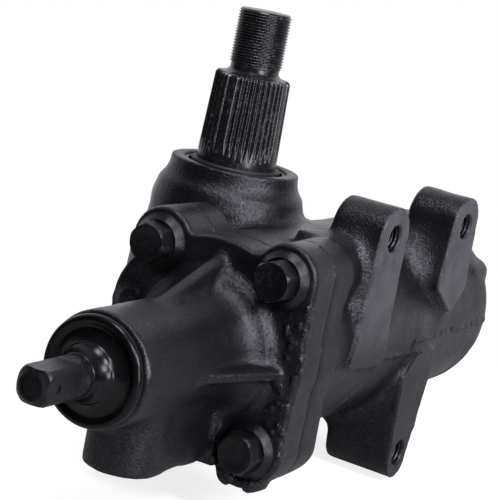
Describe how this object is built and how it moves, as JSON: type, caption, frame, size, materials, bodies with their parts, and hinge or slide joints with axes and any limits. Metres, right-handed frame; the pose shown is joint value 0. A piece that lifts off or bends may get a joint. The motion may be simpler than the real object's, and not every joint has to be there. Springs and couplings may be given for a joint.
{
  "type": "steering gearbox",
  "caption": "Power steering gearbox: cast housing with bolted valve nose, splined pitman shaft on a toothed sector, ball-nut rack piston, worm, input shaft with flats and tapped frame lugs.",
  "frame": {"origin": "on the pitman shaft's axis at the foot of its nut thread", "axes": "+X leaves the frame lugs' faces, +Y runs along the worm away from the input shaft, +Z leaves the pitman shaft's threaded end"},
  "size_m": [0.155, 0.3875, 0.2338],
  "materials": {
    "painted_casting": "satin black paint over a rough casting",
    "painted_steel": "satin black paint",
    "dark_shaft_steel": "oiled black",
    "seal_rubber": "satin",
    "gloss_cover": "gloss",
    "bearing_bronze": "turned",
    "bright_steel": "ground"
  },
  "bodies": {
    "housing": {"gear_housing": "painted_casting", "valve_housing": "painted_casting", "valve_housing_bolts": "painted_steel", "valve_housing_seal": "seal_rubber", "side_cover": "painted_casting", "side_cover_bolts": "painted_steel", "side_cover_seal": "seal_rubber", "side_cover_bush": "bearing_bronze", "adjuster_screw": "painted_steel", "adjuster_nut": "painted_steel", "sector_bearing_cup": "bright_steel", "sector_needles": "bright_steel", "sector_oil_seal": "seal_rubber", "sector_dust_seal": "seal_rubber", "sector_snap_ring": "painted_steel", "worm_bearing_race": "bright_steel", "input_bearing": "bright_steel", "input_oil_seal": "seal_rubber", "input_snap_ring": "painted_steel", "port_seats": "bearing_bronze"},
    "sector": {"sector_shaft": "dark_shaft_steel", "adjuster_retainer": "bright_steel"},
    "piston": {"rack_piston": "bright_steel", "piston_ring": "seal_rubber", "ball_nut": "bright_steel", "recirculating_balls": "bright_steel", "ball_return_tube": "bright_steel", "piston_end_plug": "bright_steel"},
    "worm": {"worm_shaft": "bright_steel", "worm_screw": "bright_steel", "worm_bearing_cone": "bright_steel", "worm_bearing_balls": "bright_steel", "valve_sleeve": "bright_steel", "valve_sleeve_rings": "seal_rubber", "torsion_bar": "bright_steel"},
    "input": {"input_shaft": "dark_shaft_steel", "input_dust_cover": "gloss_cover", "torsion_bar_pin": "bright_steel"}
  },
  "joints": [
    {"name": "pitman_turn", "type": "hinge", "parent": "housing", "child": "sector", "pos_m": [0, 0, 0], "axis": [0, 0, 1], "range_deg": [-45, 45]},
    {"name": "piston_slide", "type": "slide", "parent": "housing", "child": "piston", "axis": [0, 1, 0], "range_m": [-0.02125, 0.02125]},
    {"name": "worm_turn", "type": "hinge", "parent": "housing", "child": "worm", "pos_m": [0.054, 0, -0.1242], "axis": [0, 1, 0], "range_deg": [-722, 722]},
    {"name": "valve_twist", "type": "hinge", "parent": "worm", "child": "input", "pos_m": [0.054, 0, -0.1242], "axis": [0, 1, 0], "range_deg": [-4, 4], "stiffness_Nm_per_rad": 60}
  ],
  "couplings": [
    {"joint": "piston_slide", "follows": "pitman_turn", "m_per_rad": 0.027},
    {"joint": "worm_turn", "follows": "pitman_turn", "ratio": -16}
  ]
}
